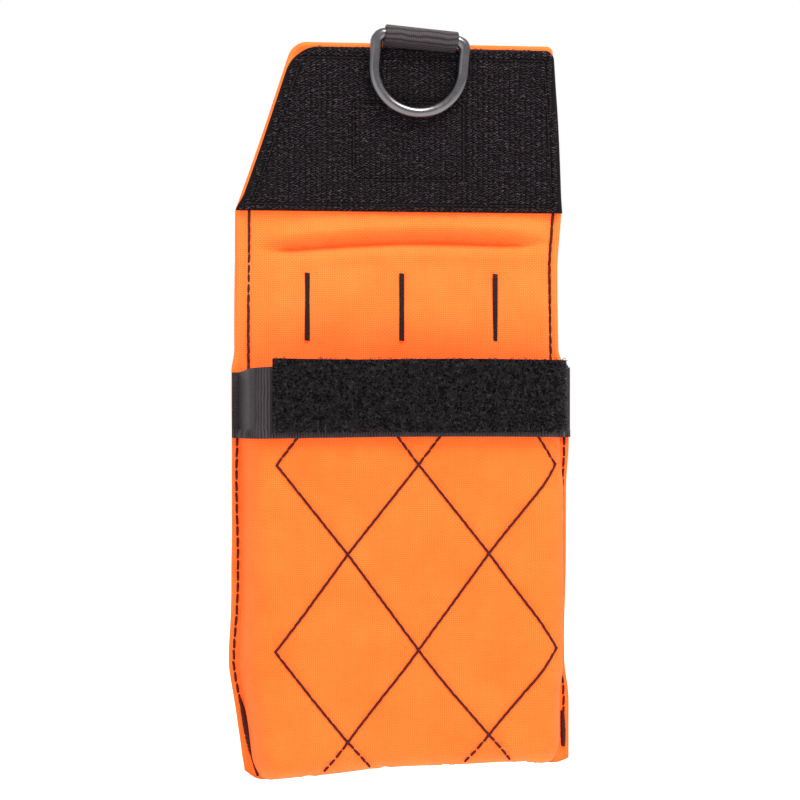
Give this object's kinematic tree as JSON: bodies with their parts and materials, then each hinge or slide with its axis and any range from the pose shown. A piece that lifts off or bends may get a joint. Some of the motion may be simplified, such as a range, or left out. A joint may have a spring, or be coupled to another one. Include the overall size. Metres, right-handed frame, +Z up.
{
  "type": "padded belt pouch",
  "caption": "Padded fabric belt pouch with a quilted front, a folding hook-and-loop flap, a D-ring on the flap's free edge and a webbing belt loop on its back.",
  "frame": {"origin": "middle of the belt tunnel, between the back's outer face and the belt loop", "axes": "+Z up along the pouch, towards the open flap; -Y out of the front, so +Y points out of the back through the belt loop; +X to the right seen from the front"},
  "size_m": [0.113, 0.032, 0.2498],
  "materials": {
    "orange_nylon": "coated plain-weave nylon, high-visibility orange",
    "orange_lining": "plain-weave nylon lining, high-visibility orange",
    "foam": "soft padding between outer cloth and lining",
    "black_webbing": "woven webbing and ribbed elastic, black",
    "black_loop_pile": "loop tape, black",
    "black_hook": "hook tape with fine upright ribs, black",
    "dark_thread": "bonded thread, very dark maroon",
    "black_rubber": "blank patch, matt black",
    "dark_steel": "bright wire with a dark nickel finish"
  },
  "bodies": {
    "pouch": {"back_lining": "orange_lining", "back_padding": "foam", "back_shell": "orange_nylon", "front_shell": "orange_nylon", "front_lining": "orange_lining", "front_padding": "foam", "mouth_band": "black_webbing", "loop_tape": "black_loop_pile", "belt_loop": "black_webbing", "belt_tack_upper_left": "dark_thread", "belt_tack_upper_middle": "dark_thread", "belt_tack_upper_right": "dark_thread", "belt_tack_lower_left": "dark_thread", "belt_tack_lower_middle": "dark_thread", "belt_tack_lower_right": "dark_thread", "pocket_seam_left": "dark_thread", "neck_seam_left": "dark_thread", "bar_tack_left": "dark_thread", "pocket_seam_right": "dark_thread", "neck_seam_right": "dark_thread", "bar_tack_right": "dark_thread", "quilting_thread_1": "dark_thread", "quilting_thread_2": "dark_thread", "quilting_thread_3": "dark_thread", "quilting_thread_4": "dark_thread"},
    "flap_bridge": {"bridge_shell": "orange_nylon", "bridge_lining": "orange_lining", "hook_strip": "black_hook", "bridge_seam_left": "dark_thread", "bridge_seam_right": "dark_thread"},
    "flap": {"flap_shell": "orange_nylon", "flap_lining": "orange_lining", "hook_sheet": "black_hook", "hook_seam": "dark_thread", "flap_patch": "black_rubber", "ring_tab": "black_webbing"},
    "ring": {"d_ring": "dark_steel"}
  },
  "joints": [
    {"name": "flap_back_fold", "type": "hinge", "parent": "pouch", "child": "flap_bridge", "pos_m": [0, -0.00715, 0.06], "axis": [1, 0, 0], "range_deg": [0, 90]},
    {"name": "flap_front_fold", "type": "hinge", "parent": "flap_bridge", "child": "flap", "pos_m": [0, -0.00895, 0.08695], "axis": [1, 0, 0], "range_deg": [0, 90]},
    {"name": "ring_swing", "type": "hinge", "parent": "flap", "child": "ring", "pos_m": [0.006, -0.01215, 0.1336], "axis": [-0.9962, 0, 0.0872], "range_deg": [0, 180]}
  ],
  "couplings": [
    {"joint": "flap_front_fold", "follows": "flap_back_fold", "ratio": 1}
  ]
}
